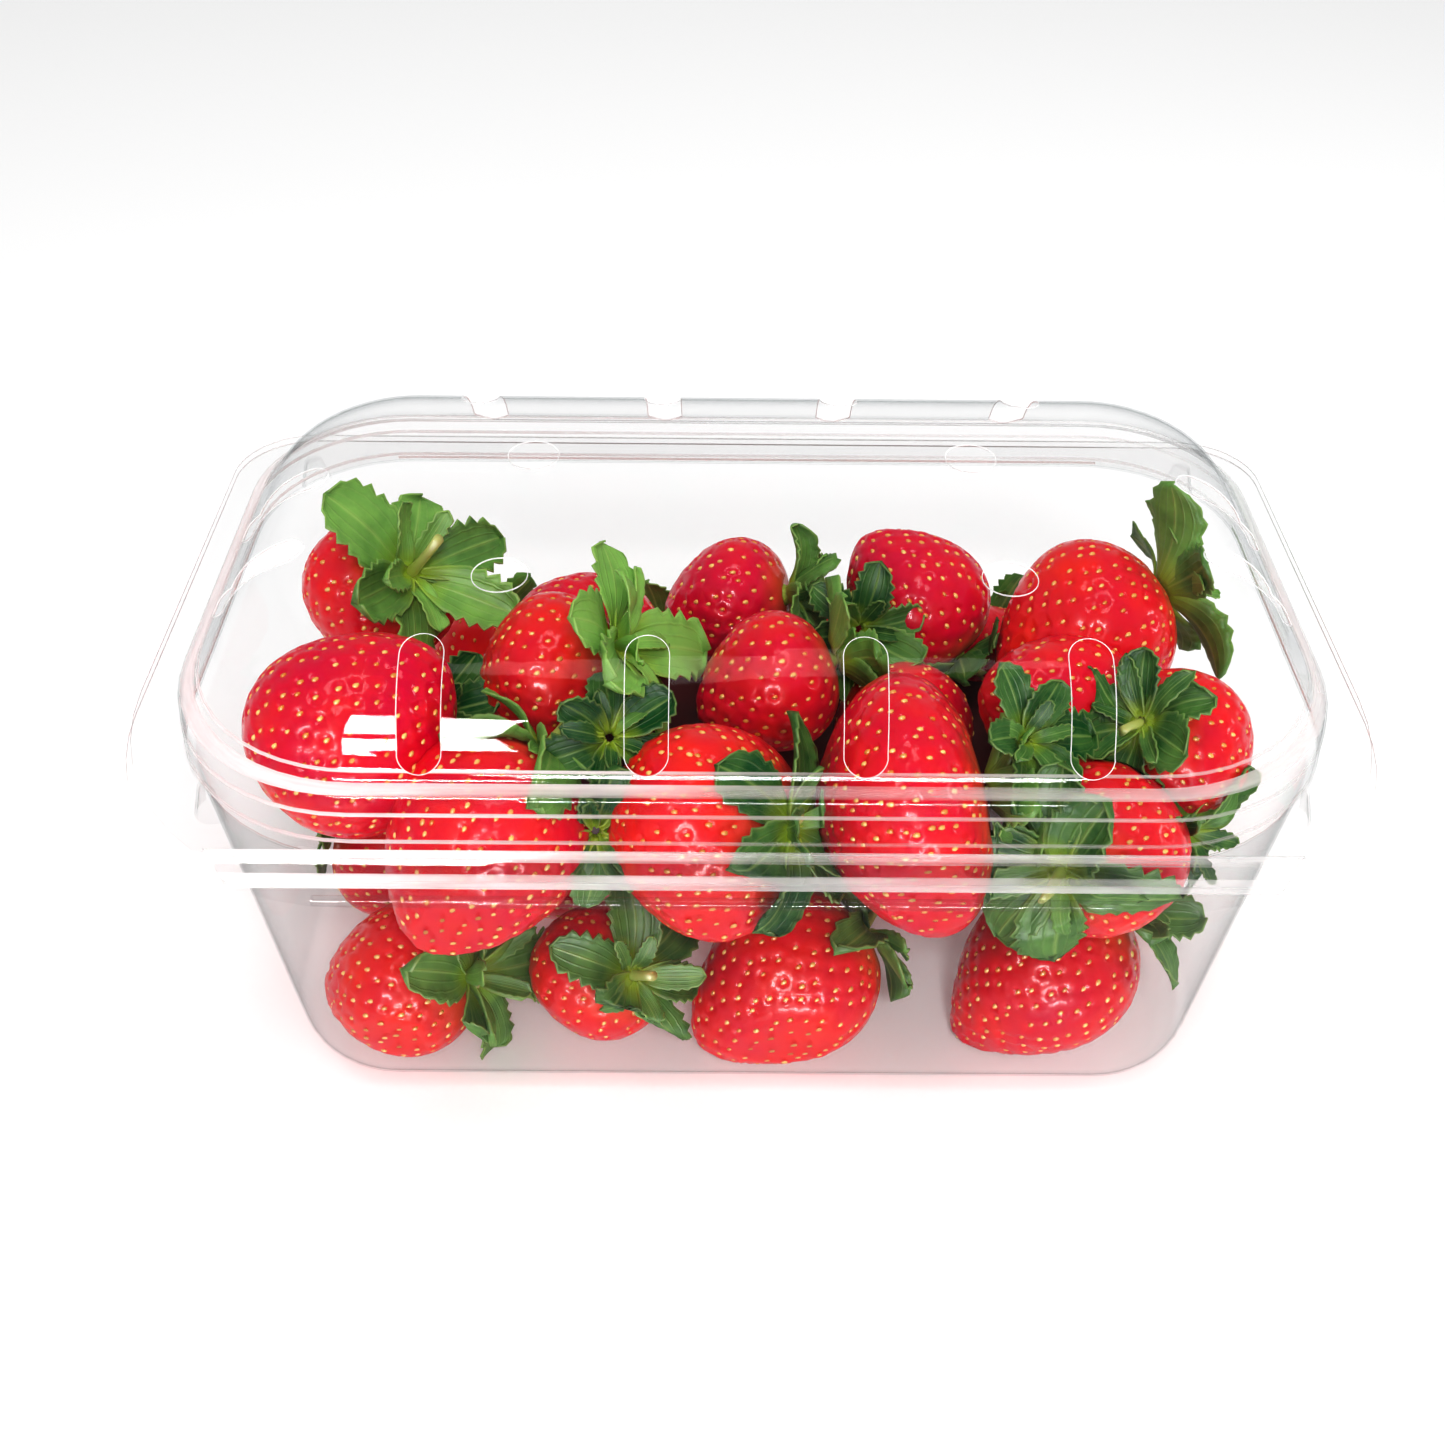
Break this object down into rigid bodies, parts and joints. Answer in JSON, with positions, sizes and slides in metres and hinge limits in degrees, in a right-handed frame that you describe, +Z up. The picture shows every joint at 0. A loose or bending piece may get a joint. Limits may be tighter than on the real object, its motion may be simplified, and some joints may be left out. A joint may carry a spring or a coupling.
{
  "type": "punnet of strawberries",
  "caption": "Clear hinged punnet with a low vented dome lid, a deep tapered tray and a wide rim, filled with ripe strawberries and their green crowns.",
  "frame": {"origin": "on the floor under the middle of the pack's rim", "axes": "+X along the long side to the right of the hinge, +Y from the hinge edge to the back, +Z up"},
  "size_m": [0.19, 0.118, 0.09],
  "materials": {
    "clear_pet": "thin clear thermoformed PET sheet, glossy on both faces",
    "berry_red": "wet gloss skin of ripe fruit, dimpled round each seed",
    "leaf_green": "satin leaf with paler veins and edges",
    "seed_yellow": "smooth small seed"
  },
  "bodies": {
    "tray": {"tray": "clear_pet", "strawberries": "berry_red"},
    "lid": {"lid": "clear_pet"}
  },
  "joints": [
    {"name": "lid_hinge", "type": "hinge", "parent": "tray", "child": "lid", "pos_m": [0, -0.05825, 0.065], "axis": [1, 0, 0], "range_deg": [0, 180]}
  ]
}
